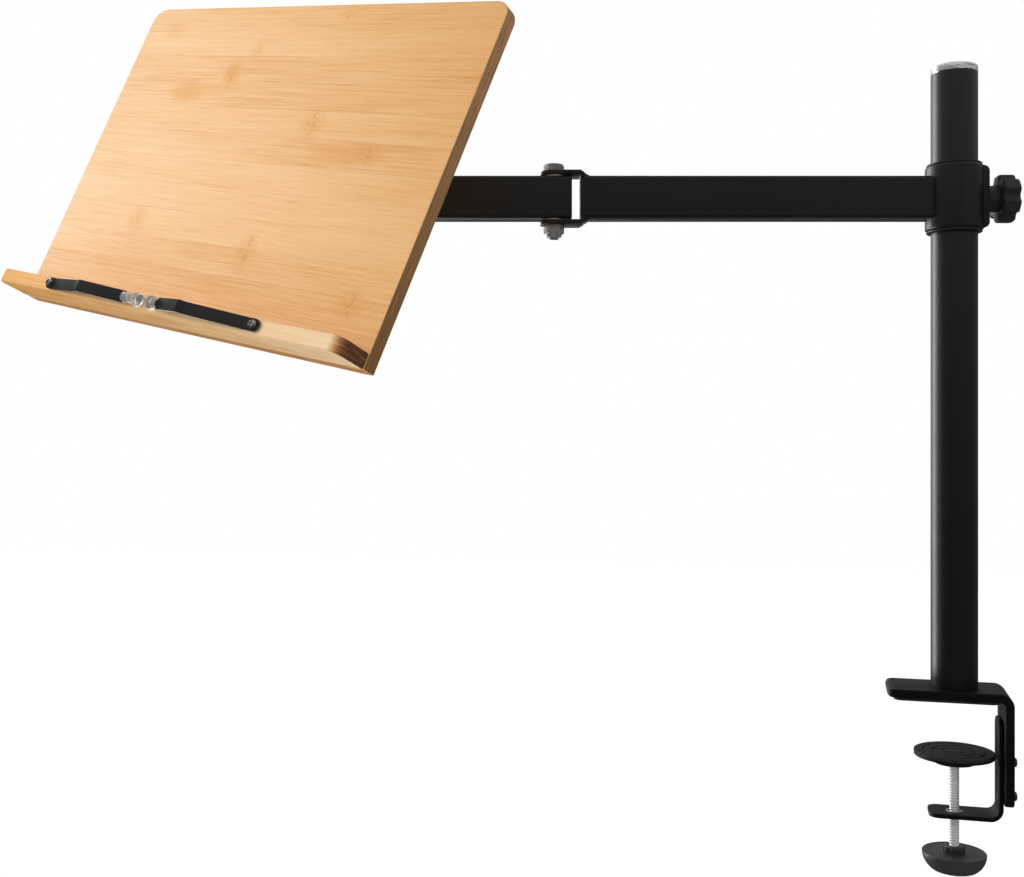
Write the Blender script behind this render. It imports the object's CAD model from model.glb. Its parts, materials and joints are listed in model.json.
# Cookbook stand: the finish and the fine shapes of every piece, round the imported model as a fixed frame.
import json
import math
from contextlib import contextmanager

import bmesh
import bpy
from mathutils import Matrix, Vector


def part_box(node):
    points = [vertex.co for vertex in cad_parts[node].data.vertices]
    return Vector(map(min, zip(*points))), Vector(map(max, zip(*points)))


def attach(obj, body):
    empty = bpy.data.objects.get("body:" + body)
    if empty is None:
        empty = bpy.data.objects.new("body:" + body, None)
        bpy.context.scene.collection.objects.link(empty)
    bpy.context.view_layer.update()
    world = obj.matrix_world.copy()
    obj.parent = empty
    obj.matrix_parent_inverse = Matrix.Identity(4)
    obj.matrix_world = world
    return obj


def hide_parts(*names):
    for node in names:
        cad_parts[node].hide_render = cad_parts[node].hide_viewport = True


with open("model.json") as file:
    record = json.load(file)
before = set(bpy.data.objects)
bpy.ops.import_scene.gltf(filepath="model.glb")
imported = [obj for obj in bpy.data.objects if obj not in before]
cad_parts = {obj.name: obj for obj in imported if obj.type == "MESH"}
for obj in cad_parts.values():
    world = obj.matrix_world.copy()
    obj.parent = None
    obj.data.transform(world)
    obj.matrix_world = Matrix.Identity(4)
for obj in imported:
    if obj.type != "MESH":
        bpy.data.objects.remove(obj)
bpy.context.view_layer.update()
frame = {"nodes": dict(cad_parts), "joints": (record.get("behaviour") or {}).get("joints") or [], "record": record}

# The frame: nodes, joints and mounts by name
MM = 0.001
UP = Vector((0, 0, 1))
nodes = frame["nodes"]
record = frame["record"]
joints = {joint["name"]: joint for joint in frame["joints"]}
mounts = {mount["name"]: mount for mount in record["mounts"]}
slot_of = {part["node"]: part["material_slot"] for part in record["subparts"]}
body_of = {node: body for body, group in record["behaviour"]["bodies"].items() for node in group}


def frame_at(origin, x_axis, z_axis):
    """Matrix from a piece's own frame to the part's, from its origin, X axis and Z axis."""
    x = Vector(x_axis)
    z = Vector(z_axis)
    turn = Matrix((x, z.cross(x), z)).transposed().to_4x4()
    turn.translation = Vector(origin)
    return turn


arm_axis = Vector(joints["lock_turn"]["axis"])
tilt_axis = -Vector(joints["board_tilt"]["axis"])
board_up = Vector(mounts["ledge_rest"]["axis"])
board_out = Vector(joints["board_turn"]["axis"])
ARM = frame_at(joints["arm_swing"]["pos_m"], arm_axis, UP)
BOARD = frame_at(joints["board_turn"]["pos_m"], board_up.cross(board_out), board_up)


def box_in(place, node):
    """Lowest and highest corner of a CAD node in a frame of its own."""
    inverse = place.inverted()
    points = [inverse @ vertex.co for vertex in nodes[node].data.vertices]
    low = Vector([min(point[i] for point in points) for i in range(3)])
    high = Vector([max(point[i] for point in points) for i in range(3)])
    return low, high


# Modelling
MERGE = 1e-6  # points closer than this are one
FACING = 0.9  # a face with this share of its normal along an axis faces that way


def activate(piece):
    """Makes a piece the only selected object and the active one."""
    bpy.ops.object.select_all(action="DESELECT")
    piece.select_set(True)
    bpy.context.view_layer.objects.active = piece


@contextmanager
def editing(piece, kind="FACE"):
    """Edit mode on one piece, with nothing selected at first."""
    activate(piece)
    bpy.ops.object.mode_set(mode="EDIT")
    bpy.ops.mesh.select_mode(type=kind)
    bpy.ops.mesh.select_all(action="DESELECT")
    yield
    bpy.ops.object.mode_set(mode="OBJECT")


def pick(piece, kind, wanted):
    """Selects the faces or edges of the piece in edit mode for which wanted is true."""
    mesh = bmesh.from_edit_mesh(piece.data)
    bpy.ops.mesh.select_all(action="DESELECT")
    for element in getattr(mesh, kind):
        if wanted(element):
            element.select_set(True)
    bmesh.update_edit_mesh(piece.data)


def named(name):
    """The primitive just added, under its own name."""
    piece = bpy.context.active_object
    piece.name = name
    piece.data.name = name
    return piece


def middle(edge):
    """The point halfway along an edge."""
    return (edge.verts[0].co + edge.verts[1].co) / 2


def block(name, low, high):
    """A box between two corners."""
    size = high - low
    bpy.ops.object.select_all(action="DESELECT")
    bpy.ops.mesh.primitive_cube_add(size=1, location=(low + high) / 2)
    piece = named(name)
    piece.scale = size
    bpy.ops.object.transform_apply(location=True, rotation=True, scale=True)
    return piece


def change(piece, kind, **settings):
    """Adds a modifier and applies it."""
    modifier = piece.modifiers.new(kind, kind)
    for key, value in settings.items():
        setattr(modifier, key, value)
    activate(piece)
    bpy.ops.object.modifier_apply(modifier=modifier.name)


def smooth(piece, angle=35):
    """Smooth shading, except across edges sharper than an angle."""
    activate(piece)
    bpy.ops.object.shade_smooth_by_angle(angle=math.radians(angle))


def round_edges(piece, width, segments=3, angle=35):
    """Rounds every edge sharper than an angle."""
    change(
        piece, "BEVEL", width=width, segments=segments, limit_method="ANGLE",
        angle_limit=math.radians(angle), use_clamp_overlap=False,
    )
    smooth(piece)


def put_in(piece, place):
    """Moves a piece from its own frame to the part's, with its place in its mesh."""
    activate(piece)
    piece.matrix_world = place
    bpy.ops.object.transform_apply(location=True, rotation=True, scale=True)
    with editing(piece):
        bpy.ops.mesh.select_all(action="SELECT")
        bpy.ops.mesh.normals_make_consistent(inside=False)


def arc(centre, radius, first, last, steps):
    """Points of an arc in a profile, from one angle in degrees to another."""
    turns = [math.radians(first + (last - first) * i / steps) for i in range(steps + 1)]
    return [(centre[0] + radius * math.cos(t), centre[1] + radius * math.sin(t)) for t in turns]


def draw(name, points):
    """One vertex drawn out along a line of points."""
    bpy.ops.object.select_all(action="DESELECT")
    bpy.ops.mesh.primitive_plane_add(size=MM, location=(0, 0, 0))
    piece = named(name)
    with editing(piece, "VERT"):
        bpy.ops.mesh.select_all(action="SELECT")
        bpy.ops.mesh.merge(type="CENTER")
        bpy.ops.transform.translate(value=points[0])
        for before, after in zip(points, points[1:]):
            step = Vector(after) - Vector(before)
            bpy.ops.mesh.extrude_vertices_move(TRANSFORM_OT_translate={"value": step})
    return piece


def lathe(name, profile, steps=96):
    """A profile of (radius, height) spun about the Z axis and closed."""
    piece = draw(name, [(radius, 0, height) for radius, height in profile])
    with editing(piece, "VERT"):
        bpy.ops.mesh.select_all(action="SELECT")
        bpy.ops.mesh.spin(steps=steps, angle=2 * math.pi, center=(0, 0, 0), axis=(0, 0, 1))
        bpy.ops.mesh.select_all(action="SELECT")
        bpy.ops.mesh.remove_doubles(threshold=MERGE)
        bpy.ops.mesh.normals_make_consistent(inside=False)
    smooth(piece)
    return piece


def thread(name, radius, low, high, pitch, depth, steps=28):
    """A screw thread along Z: one tooth turned up the screw, with both ends filled."""
    rise, fall = 0.4 * pitch, 0.6 * pitch
    root = radius - depth
    tooth = [(root, low), (radius, low + rise), (radius, low + fall), (root, low + pitch)]
    piece = draw(name, [(out, 0, height) for out, height in tooth])
    turns = int((high - low) / pitch) - 1
    change(
        piece, "SCREW", angle=2 * math.pi, screw_offset=pitch, iterations=turns,
        steps=steps, render_steps=steps, use_merge_vertices=True, merge_threshold=MERGE,
    )
    with editing(piece, "EDGE"):
        bpy.ops.mesh.select_all(action="SELECT")
        bpy.ops.mesh.remove_doubles(threshold=MERGE)
        bpy.ops.mesh.select_non_manifold(extend=False)
        bpy.ops.mesh.fill()
        bpy.ops.mesh.select_all(action="SELECT")
        bpy.ops.mesh.normals_make_consistent(inside=False)
    smooth(piece)
    return piece


def bent(corners, radius, steps=8):
    """A line of points with a curve in place of each inner corner."""
    line = [Vector(corners[0])]
    for before, corner, after in zip(corners, corners[1:], corners[2:]):
        corner = Vector(corner)
        back = (Vector(before) - corner).normalized()
        on = (Vector(after) - corner).normalized()
        reach = radius / math.tan(back.angle(on) / 2)
        for i in range(steps + 1):
            t = i / steps
            line.append(corner + back * reach * (1 - t) ** 2 + on * reach * t ** 2)
    return line + [Vector(corners[-1])]


def prism(name, outline, low, high):
    """An outline of (x, y) points filled at one height and drawn out to another."""
    piece = draw(name, [(x, y, low) for x, y in outline])
    with editing(piece, "VERT"):
        bpy.ops.mesh.select_all(action="SELECT")
        bpy.ops.mesh.edge_face_add()
    with editing(piece):
        bpy.ops.mesh.select_all(action="SELECT")
        bpy.ops.mesh.extrude_region_move(TRANSFORM_OT_translate={"value": (0, 0, high - low)})
        bpy.ops.mesh.select_all(action="SELECT")
        bpy.ops.mesh.normals_make_consistent(inside=False)
    return piece


def cut_out(piece, cutter):
    """Takes another mesh out of a piece, and removes it."""
    change(piece, "BOOLEAN", operation="DIFFERENCE", solver="EXACT", object=cutter)
    bpy.data.objects.remove(cutter)


def bar(name, radius, low, high, sides=32):
    """A round or hexagon bar along Z."""
    bpy.ops.object.select_all(action="DESELECT")
    bpy.ops.mesh.primitive_cylinder_add(
        vertices=sides, radius=radius, depth=high - low, location=(0, 0, (low + high) / 2))
    piece = named(name)
    bpy.ops.object.transform_apply(location=True, rotation=True, scale=True)
    return piece


def joined(first, *others):
    """Several meshes as one piece."""
    activate(first)
    for other in others:
        other.select_set(True)
    bpy.ops.object.join()
    return first


def eased(node, width, segments=3, angle=35):
    """A copy of a CAD node with its sharp edges rounded."""
    flat = math.radians(0.5)
    activate(nodes[node])
    bpy.ops.object.duplicate()
    piece = named(node + "_finish")
    for key in list(piece.keys()):
        del piece[key]
    piece.parent = None
    with editing(piece, "EDGE"):
        bpy.ops.mesh.select_all(action="SELECT")
        bpy.ops.mesh.remove_doubles(threshold=MERGE)
        bpy.ops.mesh.dissolve_limited(angle_limit=flat)
    round_edges(piece, width, segments, angle)
    return piece


def settle(piece, node, *materials):
    """Gives a piece its finish and puts it in a CAD node's stead, on that node's body."""
    piece.data.materials.clear()
    for material in materials:
        piece.data.materials.append(material)
    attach(piece, body_of[node])
    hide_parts(node)
    return piece


# Materials
MOST_NOISE = (0.3, 0.7)  # nearly all of a noise's values lie between these


def shader(name):
    """A new material: its node tree and its Principled shader."""
    material = bpy.data.materials.new(name)
    material.use_nodes = True
    return material, material.node_tree, material.node_tree.nodes["Principled BSDF"]


def add(tree, kind, inputs=None, **settings):
    """A shader node with its settings, and values or links on its inputs."""
    node = tree.nodes.new("ShaderNode" + kind)
    for key, value in settings.items():
        setattr(node, key, value)
    for key, value in (inputs or {}).items():
        if isinstance(value, bpy.types.NodeSocket):
            tree.links.new(value, node.inputs[key])
        else:
            node.inputs[key].default_value = value
    return node


def maths(tree, operation, first, second=0.0):
    """A sum, a product or another step on two values."""
    return add(tree, "Math", {0: first, 1: second}, operation=operation).outputs[0]


def mixed(tree, share, first, second, blend="MIX"):
    """Two colours mixed by a share."""
    node = add(tree, "Mix", {0: share, 6: first, 7: second}, data_type="RGBA", blend_type=blend)
    return node.outputs[2]


def ranged(tree, value, low, high, to_low, to_high):
    """A value from one range mapped to another, and kept inside it."""
    inputs = {"Value": value, "From Min": low, "From Max": high, "To Min": to_low, "To Max": to_high}
    return add(tree, "MapRange", inputs).outputs[0]


def colour(red, green, blue):
    """An opaque colour, in linear light."""
    return (red, green, blue, 1.0)


def grey(level):
    """A neutral colour."""
    return colour(level, level, level)


def noise(tree, vector, scale, detail=2.0, distortion=0.0):
    """A cloudy value from 0 to 1."""
    inputs = {"Vector": vector, "Scale": scale, "Detail": detail, "Distortion": distortion}
    return add(tree, "TexNoise", inputs).outputs["Fac"]


def object_place(tree):
    """A piece's own coordinates, in metres."""
    return add(tree, "TexCoord").outputs["Object"]


def bump(tree, shade, height, strength, distance):
    """Fine relief on a shader, from a height and its depth in metres."""
    inputs = {"Height": height, "Strength": strength, "Distance": distance}
    tree.links.new(add(tree, "Bump", inputs).outputs[0], shade.inputs["Normal"])


def coat(name, dark, pale, rough, grain, grain_depth, specular):
    """A painted or moulded surface: a close tone, a varied gloss and a fine grain."""
    tone_scale, gloss_scale, relief = 22, 160, 0.5
    material, tree, shade = shader(name)
    place = object_place(tree)
    cloud = noise(tree, place, tone_scale, 4)
    tree.links.new(mixed(tree, cloud, dark, pale), shade.inputs["Base Color"])
    gloss = noise(tree, place, gloss_scale, 3)
    tree.links.new(ranged(tree, gloss, *MOST_NOISE, *rough), shade.inputs["Roughness"])
    bump(tree, shade, noise(tree, place, grain, 2), relief, grain_depth)
    shade.inputs["Specular IOR Level"].default_value = specular
    return material


def metal(name, dark, pale, rough, grain, metallic=1.0, dents=0.05 * MM):
    """Bare or plated metal with a mottled gloss."""
    swirl, relief = 0.4, 0.25
    material, tree, shade = shader(name)
    place = object_place(tree)
    mottle = noise(tree, place, grain, 4, swirl)
    tree.links.new(mixed(tree, mottle, dark, pale), shade.inputs["Base Color"])
    tree.links.new(ranged(tree, mottle, *MOST_NOISE, *rough), shade.inputs["Roughness"])
    bump(tree, shade, noise(tree, place, grain * 4, 3), relief, dents)
    shade.inputs["Metallic"].default_value = metallic
    return material


black_coat = coat(
    "black_coat", grey(0.005), grey(0.008),
    rough=(0.34, 0.44), grain=2600, grain_depth=0.04 * MM, specular=0.35)
pole_coat = coat(
    "pole_coat", grey(0.003), grey(0.005),
    rough=(0.38, 0.44), grain=2600, grain_depth=0.03 * MM, specular=0.42)
clamp_coat = coat(
    "clamp_coat", grey(0.0025), grey(0.004),
    rough=(0.46, 0.56), grain=2600, grain_depth=0.04 * MM, specular=0.12)
strap_coat = coat(
    "strap_coat", colour(0.011, 0.010, 0.009), colour(0.017, 0.015, 0.013),
    rough=(0.42, 0.52), grain=2600, grain_depth=0.04 * MM, specular=0.15)
black_plastic = coat(
    "black_plastic", colour(0.010, 0.010, 0.0105), colour(0.017, 0.017, 0.0175),
    rough=(0.42, 0.55), grain=1800, grain_depth=0.06 * MM, specular=0.35)
knob_plastic = coat(
    "knob_plastic", colour(0.026, 0.026, 0.0265), colour(0.040, 0.040, 0.0405),
    rough=(0.42, 0.55), grain=1800, grain_depth=0.06 * MM, specular=0.35)
black_rubber = coat(
    "black_rubber", grey(0.014), grey(0.022),
    rough=(0.75, 0.9), grain=1400, grain_depth=0.1 * MM, specular=0.25)
grey_nylon = coat(
    "grey_nylon", colour(0.30, 0.30, 0.29), colour(0.36, 0.36, 0.35),
    rough=(0.45, 0.6), grain=1500, grain_depth=0.04 * MM, specular=0.4)
black_screw = coat(
    "black_screw", colour(0.010, 0.010, 0.011), colour(0.022, 0.022, 0.024),
    rough=(0.3, 0.42), grain=1500, grain_depth=0.03 * MM, specular=0.5)
zinc = metal(
    "zinc", colour(0.09, 0.0905, 0.0915), colour(0.38, 0.3815, 0.3835),
    rough=(0.4, 0.5), grain=420, metallic=0.5)
bright_steel = metal(
    "bright_steel", colour(0.66, 0.66, 0.67), colour(0.76, 0.76, 0.77),
    rough=(0.5, 0.6), grain=260, metallic=0.35)
dark_steel = metal(
    "dark_steel", colour(0.26, 0.26, 0.265), colour(0.46, 0.46, 0.465), rough=(0.2, 0.32), grain=900)
polished_cap = metal(
    "polished_cap", colour(0.80, 0.81, 0.83), colour(0.88, 0.89, 0.91),
    rough=(0.07, 0.14), grain=60, dents=1.6 * MM)


def clear_tip_material():
    """Clear, slightly milky plastic."""
    grain, clearness, refraction = 300, 0.82, 1.46
    material, tree, shade = shader("clear_tip")
    cloud = noise(tree, object_place(tree), grain, 3)
    milky = mixed(tree, cloud, colour(0.58, 0.59, 0.61), colour(0.78, 0.79, 0.80))
    tree.links.new(milky, shade.inputs["Base Color"])
    tree.links.new(ranged(tree, cloud, *MOST_NOISE, 0.05, 0.12), shade.inputs["Roughness"])
    shade.inputs["Transmission Weight"].default_value = clearness
    shade.inputs["IOR"].default_value = refraction
    return material


clear_tip = clear_tip_material()

# Bamboo, in the board's own frame
STRIP_W = 20 * MM
BOARD_HALF = box_in(BOARD, "ledge")[1].x
PLAIN = grey(1)
UPPER_CAST = colour(0.98, 0.94, 0.85)
DASH_TONE = colour(0.70, 0.36, 0.13)
SEAM_TONE = colour(0.55, 0.28, 0.10)
PATCH_TONE = colour(0.80, 0.43, 0.155)
FLECK_TONE = colour(0.48, 0.22, 0.06)
AMBER_TONE = colour(0.54, 0.22, 0.06)
BURNT_TONE = colour(0.09, 0.032, 0.009)
END_STREAK = colour(0.10, 0.05, 0.02)
END_SEAM = colour(0.07, 0.035, 0.015)

# Knuckle marks: place across and up the board, half width and half height in mm, warmth, flecks
BOARD_KNUCKLES = [
    (-136, 102, 20, 10, 0.4, 0.1), (-52, 66, 11, 12, 0.9, 0.8), (-36, 84, 8, 10, 0.3, 0.7),
    (-92, 50, 22, 10, 0.8, 0.2), (47, 30, 13, 13, 0.45, 1.0), (86, 10, 38, 9, 0.7, 0.15),
    (106, 12, 12, 8, 0.4, 0.7), (-84, -50, 13, 12, 0.5, 0.25), (36, -63, 11, 16, 0.5, 1.0),
    (140, -84, 14, 11, 0.5, 0.7), (38, 112, 10, 8, 0.3, 0.6),
]


def board_place(tree):
    """Coordinates along the board's width, depth and height, in metres."""
    inputs = {"Vector": object_place(tree), "Location": BOARD.translation, "Rotation": BOARD.to_euler()}
    return add(tree, "Mapping", inputs, vector_type="TEXTURE").outputs[0]


def stretched(tree, vector, scale):
    """Coordinates with a scale of their own along each axis, which draws a pattern out."""
    return add(tree, "Mapping", {"Vector": vector, "Scale": scale}).outputs[0]


def knuckle_group():
    """One knuckle mark: a warm patch, a broken line across the strip and dark flecks beside it."""
    group = bpy.data.node_groups.new("knuckle_mark", "ShaderNodeTree")
    for name, kind in (("Place", "Vector"), ("Centre", "Vector"), ("Width", "Float"), ("Height", "Float")):
        group.interface.new_socket(name=name, in_out="INPUT", socket_type="NodeSocket" + kind)
    for name in ("Warm", "Dark"):
        group.interface.new_socket(name=name, in_out="OUTPUT", socket_type="NodeSocketFloat")
    given = group.nodes.new("NodeGroupInput").outputs
    result = group.nodes.new("NodeGroupOutput").inputs
    ends = {0: given["Place"], 1: given["Centre"]}
    offset = add(group, "VectorMath", ends, operation="SUBTRACT").outputs[0]
    axes = add(group, "SeparateXYZ", {0: offset}).outputs
    across = maths(group, "DIVIDE", axes["X"], given["Width"])
    along = maths(group, "DIVIDE", axes["Z"], given["Height"])

    ragged, wavy = 0.9, 1.1
    waver = maths(group, "SUBTRACT", noise(group, given["Place"], 160, 3), 0.5)
    along = maths(group, "MULTIPLY", along, along)
    reach = maths(group, "ADD", maths(group, "MULTIPLY", across, across), along)
    reach = maths(group, "ADD", reach, maths(group, "MULTIPLY", waver, ragged))
    patch = ranged(group, reach, 0.0, 1.0, 1.0, 0.0)
    line = maths(group, "ADD", across, maths(group, "MULTIPLY", waver, wavy))
    line = ranged(group, maths(group, "ABSOLUTE", line), 0.02, 0.13, 1.0, 0.0)
    breaks = ranged(group, noise(group, given["Place"], 420, 1), 0.42, 0.58, 0.0, 1.0)
    line = maths(group, "MULTIPLY", line, breaks)
    dashes = {"Vector": stretched(group, offset, (380, 120, 480)), "Scale": 1.0, "Randomness": 1.0}
    fleck = ranged(group, add(group, "TexVoronoi", dashes).outputs["Distance"], 0.12, 0.32, 1.0, 0.0)
    dark = maths(group, "MULTIPLY", maths(group, "MAXIMUM", line, fleck), patch)
    group.links.new(patch, result["Warm"])
    group.links.new(dark, result["Dark"])
    return group


def knuckled(tree, body, place, knuckles):
    """A bamboo colour with knuckle marks over it."""
    most_warm, most_dark = 0.8, 0.6
    flat = add(tree, "VectorMath", {0: place, 1: (1, 0, 1)}, operation="MULTIPLY").outputs[0]
    marks = knuckle_group()
    for x, z, width, height, warmth, flecks in knuckles:
        mark = tree.nodes.new("ShaderNodeGroup")
        mark.node_tree = marks
        mark.inputs["Centre"].default_value = (x * MM, 0, z * MM)
        mark.inputs["Width"].default_value = width * MM
        mark.inputs["Height"].default_value = height * MM
        tree.links.new(flat, mark.inputs["Place"])
        warm = maths(tree, "MULTIPLY", mark.outputs["Warm"], most_warm * warmth)
        body = mixed(tree, warm, body, PATCH_TONE)
        dark = maths(tree, "MULTIPLY", mark.outputs["Dark"], most_dark * flecks)
        body = mixed(tree, dark, body, FLECK_TONE)
    return body


def bamboo_material(name, tones, left, right, knuckles=(), burnt=None, specular=0.35):
    """Bamboo strips glued edge to edge: a tone for each strip, long fibres and knuckle marks, and a
    cast that changes from the left end to the right. Burnt is how far out the cut ends turn dark."""
    material, tree, shade = shader(name)
    pale, honey, deep = tones
    place = board_place(tree)
    axes = add(tree, "SeparateXYZ", {0: place}).outputs
    rows = maths(tree, "DIVIDE", axes["Z"], STRIP_W)
    strip = maths(tree, "FLOOR", rows)
    tone = add(tree, "TexWhiteNoise", {"W": strip}, noise_dimensions="1D").outputs["Value"]
    shift = add(tree, "CombineXYZ", {"X": maths(tree, "MULTIPLY", tone, 3.0), "Y": tone}).outputs[0]
    own = add(tree, "VectorMath", {0: place, 1: shift}, operation="ADD").outputs[0]
    fibre = noise(tree, stretched(tree, own, (16, 90, 940)), 1.0, 5, 0.1)
    hair = noise(tree, stretched(tree, own, (45, 300, 3000)), 1.0, 3)
    cloud = noise(tree, stretched(tree, own, (5, 30, 30)), 1.0, 3)
    dash = noise(tree, stretched(tree, own, (34, 120, 1300)), 1.0, 2)

    grain = ranged(tree, tone, 0.0, 1.0, -0.06, 0.06)
    for part, weight in ((fibre, 0.38), (hair, 0.30), (cloud, 0.32)):
        grain = maths(tree, "ADD", grain, maths(tree, "MULTIPLY", part, weight))
    body = mixed(tree, ranged(tree, grain, 0.36, 0.56, 0.0, 1.0), pale, honey)
    body = mixed(tree, ranged(tree, grain, 0.52, 0.68, 0.0, 0.9), body, deep)
    body = mixed(tree, ranged(tree, dash, 0.58, 0.72, 0.0, 0.4), body, DASH_TONE)
    seam = ranged(tree, maths(tree, "PINGPONG", rows, 0.5), 0.0, 0.03, 0.22, 0.0)
    seam = maths(tree, "MULTIPLY", seam, ranged(tree, fibre, 0.4, 0.6, 0.2, 1.0))
    body = mixed(tree, seam, body, SEAM_TONE)
    if knuckles:
        body = knuckled(tree, body, place, knuckles)

    aged = ranged(tree, axes["X"], -BOARD_HALF, BOARD_HALF, 0.0, 1.0)
    body = mixed(tree, 1.0, body, mixed(tree, aged, left, right), "MULTIPLY")
    upper = ranged(tree, axes["Z"], 20 * MM, 120 * MM, 0.0, 1.0)
    body = mixed(tree, 1.0, body, mixed(tree, upper, PLAIN, UPPER_CAST), "MULTIPLY")
    if burnt:
        ragged = maths(tree, "MULTIPLY", maths(tree, "SUBTRACT", fibre, 0.5), 5 * MM)
        out = maths(tree, "ADD", maths(tree, "ABSOLUTE", axes["X"]), ragged)
        amber = ranged(tree, out, burnt - 7 * MM, burnt - 2.5 * MM, 0.0, 1.0)
        body = mixed(tree, amber, body, AMBER_TONE)
        dark = ranged(tree, out, burnt - 3 * MM, burnt, 0.0, 1.0)
        body = mixed(tree, dark, body, BURNT_TONE)
    tree.links.new(body, shade.inputs["Base Color"])
    tree.links.new(ranged(tree, fibre, *MOST_NOISE, 0.4, 0.54), shade.inputs["Roughness"])
    bump(tree, shade, maths(tree, "ADD", fibre, hair), 0.3, 0.06 * MM)
    shade.inputs["Specular IOR Level"].default_value = specular
    return material


def bamboo_end_material(name, low, high, ply):
    """Cut edge of the board: layers across the thickness, streaks along it, and a paler upper end."""
    reach, pores = 120 * MM, 900.0
    material, tree, shade = shader(name)
    place = board_place(tree)
    axes = add(tree, "SeparateXYZ", {0: place}).outputs
    layers = maths(tree, "DIVIDE", axes["Y"], ply)
    seam = ranged(tree, maths(tree, "PINGPONG", layers, 0.5), 0.0, 0.08, 0.5, 0.0)
    streak = noise(tree, stretched(tree, place, (200, 1300, 45)), 1.0, 4)
    dots = add(tree, "TexVoronoi", {"Vector": place, "Scale": pores}).outputs["Distance"]
    body = mixed(tree, ranged(tree, axes["Z"], -reach, reach, 0.0, 1.0), low, high)
    body = mixed(tree, ranged(tree, streak, 0.35, 0.65, 0.0, 0.55), body, END_STREAK)
    body = mixed(tree, ranged(tree, dots, 0.15, 0.4, 0.3, 0.0), body, END_STREAK)
    body = mixed(tree, seam, body, END_SEAM)
    tree.links.new(body, shade.inputs["Base Color"])
    shade.inputs["Roughness"].default_value = 0.6
    shade.inputs["Specular IOR Level"].default_value = 0.25
    bump(tree, shade, dots, 0.3, 0.1 * MM)
    return material


BOARD_TONES = colour(0.94, 0.66, 0.41), colour(0.87, 0.55, 0.295), colour(0.74, 0.42, 0.19)
LEDGE_TONES = colour(0.95, 0.72, 0.47), colour(0.92, 0.65, 0.38), colour(0.78, 0.46, 0.20)
RIGHT_CAST = colour(0.93, 0.80, 0.58)
FOOT_CAST = colour(0.62, 0.5, 0.38)
ORANGE_CAST = colour(0.80, 0.58, 0.31)
bamboo = bamboo_material("bamboo_board", BOARD_TONES, PLAIN, RIGHT_CAST, BOARD_KNUCKLES)
board_foot = bamboo_material("bamboo_foot", BOARD_TONES, FOOT_CAST, FOOT_CAST, specular=0.0)
bamboo_end = bamboo_end_material(
    "bamboo_end", colour(0.25, 0.115, 0.03), colour(0.46, 0.25, 0.125), ply=3.4 * MM)
ledge_bamboo = bamboo_material("bamboo_ledge", LEDGE_TONES, ORANGE_CAST, PLAIN)
ledge_end = bamboo_material("bamboo_ledge_end", LEDGE_TONES, ORANGE_CAST, PLAIN, burnt=BOARD_HALF)
ledge_raw = bamboo_material("bamboo_ledge_raw", LEDGE_TONES, ORANGE_CAST, PLAIN, specular=0.0)

# The materials of CAD nodes that keep their own shape
slot_materials = {
    "black_coat": black_coat, "zinc_steel": zinc, "bright_cap": polished_cap, "rubber": black_rubber,
    "nylon": grey_nylon, "black_plastic": black_plastic, "bamboo": bamboo, "clear_plastic": clear_tip,
}
for node, piece in nodes.items():
    piece.data.materials.clear()
    piece.data.materials.append(slot_materials[slot_of[node]])


# Clamp and pole
def make_pole():
    """Pole: a tube with its wall bridged inside, and eased rims."""
    low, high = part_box("pole_tube")
    wall, ease = 1.5 * MM, 0.3 * MM
    piece = bar("pole_tube_finish", high.x, low.z, high.z, 128)
    with editing(piece):
        pick(piece, "faces", lambda face: abs(face.normal.z) > FACING)
        bpy.ops.mesh.inset(thickness=wall, depth=0)
        bpy.ops.mesh.delete(type="ONLY_FACE")
        pick(piece, "edges", lambda edge: edge.is_boundary)
        bpy.ops.mesh.bridge_edge_loops()
        bpy.ops.mesh.select_all(action="SELECT")
        bpy.ops.mesh.normals_make_consistent(inside=False)
    round_edges(piece, ease)
    settle(piece, "pole_tube", pole_coat)


def make_cap():
    """Polished cap: a rounded rim, a shallow dish and the plug in the tube."""
    low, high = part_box("pole_cap")
    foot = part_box("pole_tube")[1].z
    rim, edge, ease = high.x, 1.5 * MM, 0.2 * MM
    plug, lead = rim - 1.6 * MM, 0.5 * MM
    dish, roll, deep, crown = rim - 4 * MM, 0.6 * MM, 0.9 * MM, 0.5 * MM
    profile = [(0, low.z), (plug - lead, low.z), (plug, low.z + lead), (plug, foot)]
    profile += [(rim - ease, foot), (rim, foot + ease)]
    profile += arc((rim - edge, high.z - edge), edge, 0, 90, 10)
    profile += arc((dish, high.z - roll), roll, 90, 180, 5)
    profile += [(dish - 2 * roll, high.z - deep), (0, high.z - crown)]
    settle(lathe("pole_cap_finish", profile, 128), "pole_cap", polished_cap)


def make_pad():
    """Clamp pad: a thin pressed cup under the rubber face."""
    low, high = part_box("pad_cup")
    rim, flange, lip = high.x, 1.5 * MM, 0.6 * MM
    cup, foot, press = 20 * MM, 15 * MM, 2 * MM
    bend, drop, ease = 0.8 * MM, 1 * MM, 0.2 * MM
    under = high.z - flange
    profile = [(0, low.z), (foot - press, low.z)]
    profile += arc((foot - press, low.z + press), press, -90, -40, 5)
    profile += [(cup - bend, under - drop), (cup + bend, under - ease), (cup + press, under)]
    profile += [(rim - 2 * ease, under)]
    profile += arc((rim - lip, under + lip), lip, -60, 60, 6)
    profile += [(rim - lip, high.z), (0, high.z)]
    settle(lathe("pad_cup_finish", profile), "pad_cup", clamp_coat)
    settle(eased("pad_face", 0.25 * MM), "pad_face", black_rubber)


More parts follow.
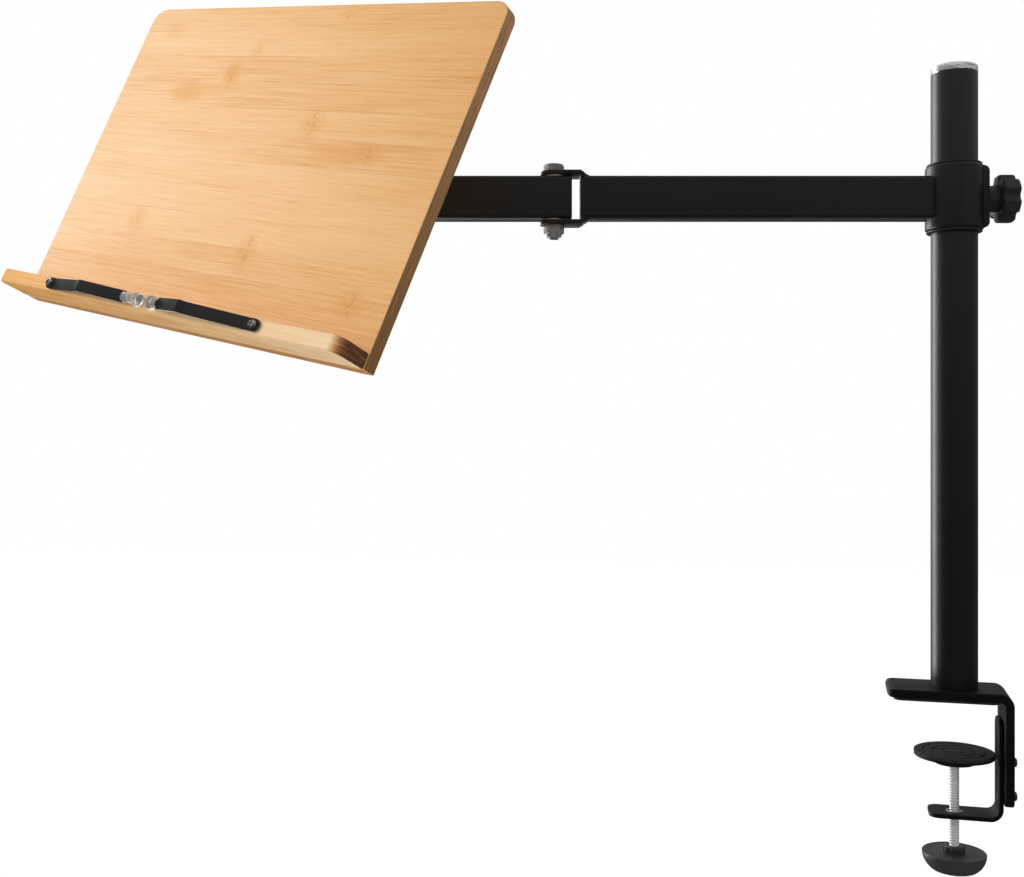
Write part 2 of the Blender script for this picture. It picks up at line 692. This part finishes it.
def make_spindle():
    """Clamp screw: a rolled thread between the knob and the pad, with its riveted tip."""
    low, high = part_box("clamp_screw")
    radius, pitch, depth, core = 3.5 * MM, 2 * MM, 0.45 * MM, 2.7 * MM
    lap, lead, play = 3 * MM, 0.5 * MM, 0.1 * MM
    tip, rivet, thick, ease = 2.5 * MM, high.x, 1.2 * MM, 0.6 * MM
    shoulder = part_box("pad_cup")[0].z - play
    screw = thread("clamp_screw_finish", radius, low.z, shoulder, pitch, depth)
    top = max(vertex.co.z for vertex in screw.data.vertices)
    profile = [(0, top - lap), (core, top - lap), (core, top - lead), (radius, top), (radius, shoulder)]
    profile += [(tip, shoulder), (tip, high.z - thick), (rivet, high.z - thick), (rivet, high.z - ease)]
    profile += arc((rivet - ease, high.z - ease), ease, 15, 90, 5)
    profile += [(0, high.z)]
    settle(joined(screw, lathe("clamp_tip", profile, 48)), "clamp_screw", bright_steel)


def make_clamp_knob():
    """Clamp knob: a bowl with a flared rim under a fluted hub."""
    low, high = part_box("clamp_knob")
    rim, foot, hub, bore = high.x, 15 * MM, 7.5 * MM, 3.55 * MM
    core, lead, ease, groove = hub - 0.6 * MM, 0.5 * MM, 0.4 * MM, 0.3 * MM
    rim_z, bore_z = high.z - 4.5 * MM, low.z + 3 * MM
    crown, hollow, lip, fillet = 1 * MM, 0.8 * MM, 2 * MM, 1 * MM
    flutes, half, soft = 10, 1.1 * MM, 0.35 * MM
    depth = rim_z - low.z
    taper = rim - foot
    side = (taper * taper + depth * depth) / (2 * taper)
    profile = [(0, low.z + crown), (foot - 5 * MM, low.z + hollow), (foot - 3.5 * MM, low.z)]
    curve = arc((rim - side, rim_z), side, -math.degrees(math.asin(depth / side)), 0, 24)
    profile += [(radius, max(height, low.z)) for radius, height in curve[1:-1]]
    profile += [(rim, rim_z - ease), (rim - groove, rim_z), (rim - lip, rim_z - groove)]
    profile += [(hub + fillet, rim_z), (core, rim_z + ease), (core, high.z - lead), (core - lead, high.z)]
    profile += [(bore, high.z), (bore, bore_z), (0, bore_z)]
    pieces = [lathe("clamp_knob_finish", profile, 96)]
    for i in range(flutes):
        angle = 2 * math.pi * i / flutes
        centre = Vector((math.cos(angle), math.sin(angle), 0)) * (hub - half)
        corner = Vector((half, half, 0))
        foot_z, top_z = rim_z - lead, high.z - groove
        flute = block("flute", centre - corner + UP * foot_z, centre + corner + UP * top_z)
        round_edges(flute, soft)
        pieces.append(flute)
    settle(joined(*pieces), "clamp_knob", knob_plastic)


def make_clamp():
    """The two bent plates, the liner and their screws."""
    settle(eased("clamp_plate", 0.85 * MM, segments=4), "clamp_plate", clamp_coat)
    settle(eased("lower_bracket", 0.6 * MM), "lower_bracket", clamp_coat)
    settle(eased("desk_liner", 0.5 * MM), "desk_liner", black_rubber)
    settle(eased("bracket_screws", 0.2 * MM), "bracket_screws", black_screw)
    settle(eased("jaw_bush", 0.25 * MM), "jaw_bush", zinc)


# Collar, lock and arms
def make_collar():
    """The collar on the pole, its sleeve and its lock knob."""
    settle(eased("pole_collar", 0.5 * MM), "pole_collar", black_coat)
    settle(eased("slide_sleeve", 0.3 * MM), "slide_sleeve", black_plastic)
    make_lock_knob()


def make_lock_knob():
    """Lock knob: a lobed outline drawn out to a grip with round rims, on a plain neck."""
    place = frame_at(joints["lock_turn"]["pos_m"], UP, arm_axis)
    low, high = box_in(place, "lock_knob")
    grip, tall, neck, edge = 17 * MM, 12.5 * MM, 9.3 * MM, 0.4 * MM
    lobes, hollow, deep, soft = 6, 5 * MM, 3 * MM, 1.6 * MM
    corners, ease, rim_steps = 180, 2.5 * MM, 6
    foot = high.z - tall
    centre = grip + hollow - deep
    outline = []
    for i in range(corners):
        angle = 2 * math.pi * i / corners
        off = math.remainder(angle - math.pi / lobes, 2 * math.pi / lobes)
        inside = hollow ** 2 - (centre * math.sin(off)) ** 2
        scoop = centre * math.cos(off) - math.sqrt(inside) if inside > 0 else 2 * grip
        meet = max(soft - abs(grip - scoop), 0) / soft
        radius = min(grip, scoop) - meet * meet * soft / 4
        outline.append((radius * math.cos(angle), radius * math.sin(angle)))
    piece = prism("lock_knob_finish", outline, foot + ease, high.z - ease)
    rim = arc((grip - ease, 0), ease, 0, 90, rim_steps)
    with editing(piece):
        for up in (1, -1):
            pick(piece, "faces", lambda face: len(face.verts) == corners and face.normal.z * up > FACING)
            for before, after in zip(rim, rim[1:]):
                step = up * (after[1] - before[1])
                share = after[0] / before[0]
                bpy.ops.mesh.extrude_region_move(TRANSFORM_OT_translate={"value": (0, 0, step)})
                bpy.ops.transform.resize(value=(share, share, 1), center_override=(0, 0, 0))
    smooth(piece, angle=40)
    top = foot + ease
    stem = lathe("stem", [(0, low.z), (neck - edge, low.z), (neck, low.z + edge), (neck, top), (0, top)])
    settle(joined(piece, stem), "lock_knob", black_plastic)
    put_in(piece, place)


def make_bolt(node, joint, axis):
    """Hexagon bolt: a head with its corners turned off, a plain shank and a threaded end."""
    place = frame_at(joints[joint]["pos_m"], axis.orthogonal().normalized(), axis)
    low, high = box_in(place, node)
    flats, head, ease, rim = 13 * MM, 5.3 * MM, 0.35 * MM, 0.3 * MM
    shank, core, threaded, pitch, depth = 4 * MM, 3.3 * MM, 14 * MM, 1.25 * MM, 0.6 * MM
    lap, lead, spare, brim = 3 * MM, 0.5 * MM, 1 * MM, 0.02 * MM
    seat = high.z - head
    chamfer = flats / 2 - 0.15 * MM
    wide = chamfer + head
    points = [place.inverted() @ vertex.co for vertex in nodes[node].data.vertices]
    corner = max(points, key=lambda point: point.xy.length)
    piece = bar(node + "_finish", flats / math.sqrt(3), seat, high.z + spare, 6)
    first = piece.data.vertices[0].co
    turn = math.atan2(corner.y, corner.x) - math.atan2(first.y, first.x)
    put_in(piece, Matrix.Rotation(turn, 4, "Z"))
    with editing(piece, "EDGE"):
        pick(piece, "edges", lambda edge: abs(edge.verts[0].co.z - edge.verts[1].co.z) > head / 2)
        bpy.ops.mesh.bevel(offset=ease, segments=3, affect="EDGES")
    cone = lathe("cone", [
        (0, seat - head), (wide, seat - head), (wide, seat),
        (chamfer, high.z - brim), (chamfer - rim, high.z), (0, high.z)])
    change(piece, "BOOLEAN", operation="INTERSECT", solver="EXACT", object=cone)
    bpy.data.objects.remove(cone)
    smooth(piece)
    screw = thread("screw", shank, low.z, low.z + threaded, pitch, depth)
    top = max(vertex.co.z for vertex in screw.data.vertices)
    shaft = lathe("shaft", [
        (0, top - lap), (core, top - lap), (core, top - lead), (shank, top),
        (shank, seat + lead), (0, seat + lead)], 48)
    settle(joined(piece, screw, shaft), node, zinc)
    put_in(piece, place)


def make_arms():
    """The two arms, the plugs in their tubes, and the bolts and nuts of their joints."""
    settle(eased("rear_arm", 0.5 * MM), "rear_arm", black_coat)
    settle(eased("front_arm", 0.45 * MM), "front_arm", black_coat)
    settle(eased("rear_arm_plug", 0.2 * MM), "rear_arm_plug", black_plastic)
    settle(eased("front_arm_plugs", 0.2 * MM), "front_arm_plugs", black_plastic)
    make_bolt("elbow_bolt", "elbow", UP)
    make_bolt("head_bolt", "head_swivel", UP)
    make_bolt("tilt_bolt", "board_tilt", tilt_axis)
    for node in ("elbow_nut", "head_nut", "tilt_nut"):
        settle(eased(node, 0.3 * MM), node, zinc)


def make_head():
    """The head behind the board: its yoke, its knuckle, and the plate with its screws."""
    settle(eased("head_yoke", 0.8 * MM), "head_yoke", black_coat)
    settle(eased("tilt_knuckle", 0.6 * MM), "tilt_knuckle", black_coat)
    settle(eased("board_plate", 0.5 * MM), "board_plate", black_coat)
    settle(eased("plate_screws", 0.2 * MM), "plate_screws", zinc)


# Board, ledge and page clips
def end_faces(piece, share):
    """Gives faces that look along the board's width the second material, and an underside the third."""
    for polygon in piece.data.polygons:
        if abs(polygon.normal.x) > share:
            polygon.material_index = 1
        elif polygon.normal.z < -FACING:
            polygon.material_index = 2


def rounded_board(node, chosen, corner, corner_steps, ease):
    """A bamboo block in the board's frame, with its chosen corners made round and its edges eased."""
    low, high = box_in(BOARD, node)
    piece = block(node + "_finish", low, high)
    with editing(piece, "EDGE"):
        pick(piece, "edges",
             lambda edge: abs(middle(edge).x) > high.x - MM and chosen(middle(edge), low, high))
        bpy.ops.mesh.bevel(offset=corner, segments=corner_steps, affect="EDGES")
    round_edges(piece, ease, segments=4)
    return piece


def make_board():
    """Bamboo board: round upper corners and eased edges."""
    piece = rounded_board(
        "board", lambda point, low, high: point.z > high.z - MM,
        corner=12 * MM, corner_steps=16, ease=1.3 * MM)
    settle(piece, "board", bamboo, bamboo_end, board_foot)
    end_faces(piece, share=0.8)
    put_in(piece, BOARD)


def make_ledge():
    """Bamboo ledge: round front corners and eased edges."""
    piece = rounded_board(
        "ledge", lambda point, low, high: point.y < low.y + MM,
        corner=8 * MM, corner_steps=10, ease=1.2 * MM)
    settle(piece, "ledge", ledge_bamboo, ledge_end, ledge_raw)
    end_faces(piece, share=0.12)
    put_in(piece, BOARD)


def make_clip(side):
    """Page clip: a strap bent at its kink, with a round end, and its clear tip."""
    strap, tip = side + "_clip", side + "_clip_tip"
    mirror = Matrix.Diagonal((1 if side == "left" else -1, 1, 1, 1))
    screw = BOARD.inverted() @ Vector(joints[strap + "_swing"]["pos_m"])
    place = BOARD @ Matrix.Translation(screw) @ mirror
    low, high = box_in(place, strap)
    tip_low, tip_high = box_in(place, tip)
    tip_y = (tip_low.y + tip_high.y) / 2
    points = [place.inverted() @ vertex.co for vertex in nodes[strap].data.vertices]
    kink = min(points, key=lambda point: point.y)
    thick, wide, bend = 1.4 * MM, high.z - low.z, 1.2 * MM
    round_end = wide * 0.48
    foot, crook, crook_share = 6 * MM, 5 * MM, 0.74
    hole_radius, hole_reach = 1.8 * MM, 3 * MM
    tongue_half, tongue_lap = 2 * MM, 1 * MM
    kink_y = kink.y + thick / 2
    line = bent([
        (low.x, 0, low.z), (foot, 0, low.z), (kink.x - crook, kink_y * crook_share, low.z),
        (kink.x, kink_y, low.z), (tip_low.x, tip_y, low.z)], bend)
    piece = draw(strap + "_finish", line)
    with editing(piece, "EDGE"):
        bpy.ops.mesh.select_all(action="SELECT")
        bpy.ops.mesh.extrude_region_move(TRANSFORM_OT_translate={"value": (0, 0, wide)})
    change(piece, "SOLIDIFY", thickness=thick, offset=0)
    with editing(piece, "EDGE"):
        end, rim = low.x + 0.01 * MM, wide * 0.49
        pick(piece, "edges", lambda edge: middle(edge).x < end and abs(middle(edge).z) > rim)
        bpy.ops.mesh.bevel(offset=round_end, segments=10, affect="EDGES")
    hole = bar("hole", hole_radius, -hole_reach, hole_reach)
    put_in(hole, Matrix.Rotation(math.pi / 2, 4, "X"))
    cut_out(piece, hole)
    round_edges(piece, 0.25 * MM, segments=2)
    tongue = block("tongue", Vector((tip_low.x - tongue_lap, tip_y - thick / 2, -tongue_half)),
                   Vector((high.x, tip_y + thick / 2, tongue_half)))
    round_edges(tongue, 0.2 * MM, segments=2)
    settle(joined(piece, tongue), strap, strap_coat)
    put_in(piece, place)

    bead = (tip_high.z - tip_low.z) / 2
    length = tip_high.x - tip_low.x
    half, sleeve, ease = 3 * MM, 3.3 * MM, 0.3 * MM
    bore, deep, dome = 2.25 * MM, 5.2 * MM, 0.05 * MM
    first = -math.degrees(math.acos(sleeve / bead))
    last = math.degrees(math.asin(half / bead))
    profile = [(0, deep), (bore, deep), (bore, 0), (sleeve - ease, 0), (sleeve, ease)]
    profile += arc((0, length - half), bead, first, last, 14)
    profile += [(bead * 0.6, length - dome), (0, length)]
    piece = lathe(tip + "_finish", profile, 48)
    settle(piece, tip, clear_tip)
    put_in(piece, place @ Matrix.Translation((tip_low.x, tip_y, 0)) @ Matrix.Rotation(math.pi / 2, 4, "Y"))


def make_clip_screws():
    """The clips' screws: pan heads with a cross recess."""
    low, high = box_in(BOARD, "clip_screws")
    head, tall, ease, brim = (high.z - low.z) / 2, 2.2 * MM, 0.2 * MM, 0.25 * MM
    shank, point, lead = 1.75 * MM, 0.6, 1 * MM
    slot, end, across, recess = 0.5 * MM, 0.4 * MM, 1.9 * MM, 1 * MM
    steps = 44  # no edge of the head then meets a corner of the recess
    depth = low.y + tall - high.y
    profile = [(0, depth), (shank * point, depth), (shank, depth + lead), (shank, 0)]
    profile += [(head - ease, 0), (head, brim)]
    profile += [(head * out, tall * up) for out, up in ((0.96, 0.5), (0.78, 0.85), (0.4, 0.96), (0, 1))]
    cross = []
    for x, y in ((1, 0), (0, 1), (-1, 0), (0, -1)):
        for out, aside in ((slot, -slot), (across, -end), (across, end)):
            cross.append((x * out - y * aside, y * out + x * aside))
    screws = []
    for side in ("left", "right"):
        screw = lathe("clip_screw", profile, steps)
        cut_out(screw, prism("cross", cross, tall - recess, tall + recess))
        smooth(screw)
        place = BOARD.inverted() @ Vector(joints[side + "_clip_swing"]["pos_m"])
        place.y = low.y + tall
        put_in(screw, BOARD @ Matrix.Translation(place) @ Matrix.Rotation(math.pi / 2, 4, "X"))
        screws.append(screw)
    settle(joined(*screws), "clip_screws", dark_steel)


for make in (make_pole, make_cap, make_pad, make_spindle, make_clamp_knob, make_clamp,
             make_collar, make_arms, make_head, make_board, make_ledge, make_clip_screws):
    make()
for side in ("left", "right"):
    make_clip(side)


# Camera, light and floor
def make_camera():
    """Level camera at the photograph's place, its focal length given for the 1024-pixel frame."""
    focal_px, frame_px, sensor = 1200, 1024, 36
    stand, height = Vector((-0.3158, -0.857, 0)), 0.185
    camera = bpy.data.objects.new("camera", bpy.data.cameras.new("camera"))
    camera.data.sensor_width = sensor
    camera.data.lens = sensor * focal_px / frame_px
    camera.location = ARM.to_3x3() @ stand + UP * height
    camera.rotation_euler = (math.radians(90), 0, math.atan2(arm_axis.y, arm_axis.x))
    bpy.context.scene.collection.objects.link(camera)
    bpy.context.scene.camera = camera


def soft_box(name, place, target, width, height, power):
    """An area lamp that looks at a point, both in the arms' frame."""
    lamp = bpy.data.lights.new(name, "AREA")
    lamp.shape = "RECTANGLE"
    lamp.size = width
    lamp.size_y = height
    lamp.energy = power
    box = bpy.data.objects.new(name, lamp)
    turn = ARM.to_3x3()
    box.location = turn @ Vector(place)
    look = turn @ (Vector(target) - Vector(place))
    box.rotation_euler = look.to_track_quat("-Z", "Y").to_euler()
    box.visible_camera = False
    bpy.context.scene.collection.objects.link(box)
    return box


def make_world():
    """White behind the object, and soft light on it. What its gloss sees is a dim room, paler overhead
    and in one corner."""
    soft, dim, pale, overhead = 0.4, 0.2, 0.7, 0.4
    world = bpy.data.worlds.new("studio")
    bpy.context.scene.world = world
    world.use_nodes = True
    tree = world.node_tree
    rays = add(tree, "LightPath").outputs
    back = tree.nodes["Background"]
    back.inputs["Color"].default_value = grey(1)
    look = add(tree, "TexCoord").outputs["Generated"]
    corner = ARM.to_3x3() @ Vector((-0.5, 0.866, 0))
    near = add(tree, "VectorMath", {0: look, 1: corner}, operation="DOT_PRODUCT").outputs["Value"]
    rise = add(tree, "SeparateXYZ", {0: look}).outputs["Z"]
    mirrored = ranged(tree, near, 0.62, 0.82, dim, pale)
    mirrored = maths(tree, "ADD", mirrored, ranged(tree, rise, 0.26, 0.4, 0.0, overhead))
    seen = maths(tree, "MAXIMUM", rays["Is Camera Ray"], rays["Is Transmission Ray"])
    level = add(tree, "Mix", {0: rays["Is Glossy Ray"], 2: soft, 3: mirrored}).outputs[0]
    tree.links.new(maths(tree, "MAXIMUM", level, seen), back.inputs["Strength"])


def make_floor():
    """Pale floor, a desk's height below the desk top."""
    size, drop = 16, 0.74
    seen_glow, bounced_glow = 0.68, 0.38
    bpy.ops.object.select_all(action="DESELECT")
    bpy.ops.mesh.primitive_plane_add(size=size, location=(0, 0, -drop))
    floor = named("floor")
    bpy.ops.object.transform_apply(location=True, rotation=True, scale=True)
    material, tree, shade = shader("pale_floor")
    rays = add(tree, "LightPath").outputs
    pale = mixed(tree, rays["Is Glossy Ray"], grey(0.86), grey(0.2))
    tree.links.new(pale, shade.inputs["Base Color"])
    shade.inputs["Roughness"].default_value = 0.9
    shade.inputs["Emission Color"].default_value = grey(1)
    glow = maths(tree, "MULTIPLY", rays["Is Camera Ray"], seen_glow)
    glow = maths(tree, "ADD", glow, maths(tree, "MULTIPLY", rays["Is Diffuse Ray"], bounced_glow))
    tree.links.new(glow, shade.inputs["Emission Strength"])
    floor.data.materials.append(material)


make_camera()
key = soft_box("key", (-1.0, -0.42, 0.6), (-0.5, 0, 0.33), width=0.5, height=0.7, power=3.3)
key.visible_glossy = False
fill = soft_box("fill", (0.9, -1.2, 0.5), (-0.2, 0, 0.2), width=0.8, height=1.0, power=4)
fill.visible_glossy = False
rim = soft_box("rim", (-0.765, 0.719, 0.25), (0, 0, 0.25), width=0.38, height=1.6, power=17)
rim.visible_diffuse = False
make_world()
make_floor()
bpy.context.scene.view_settings.view_transform = "Standard"
